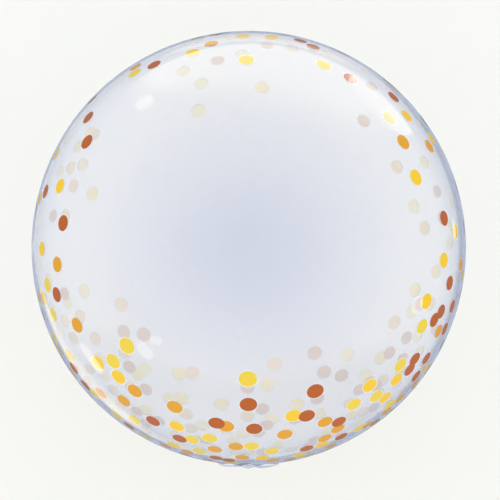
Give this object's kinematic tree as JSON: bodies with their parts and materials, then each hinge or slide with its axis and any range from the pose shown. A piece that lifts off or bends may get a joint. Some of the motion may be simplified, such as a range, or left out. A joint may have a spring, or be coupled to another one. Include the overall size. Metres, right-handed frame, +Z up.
{
  "type": "clear bubble balloon",
  "caption": "Round clear film balloon blown up to a ball, with a welded rim seam, a flat hanging filling neck and scattered printed confetti dots.",
  "frame": {"origin": "middle of the small flat spot that the balloon lies on", "axes": "+Z up, out of the middle of the front panel; -Y towards the filling neck; +X to the right with the front panel seen from above and the neck nearest"},
  "size_m": [0.566, 0.5693, 0.5577],
  "materials": {
    "printed_film": "clear glossy stretch film with flat printed dots in yellow, amber and copper",
    "plain_film": "clear glossy film, two plies welded together"
  },
  "bodies": {
    "root": {"front_panel": "printed_film", "back_panel": "printed_film", "filling_neck": "plain_film"}
  },
  "joints": []
}
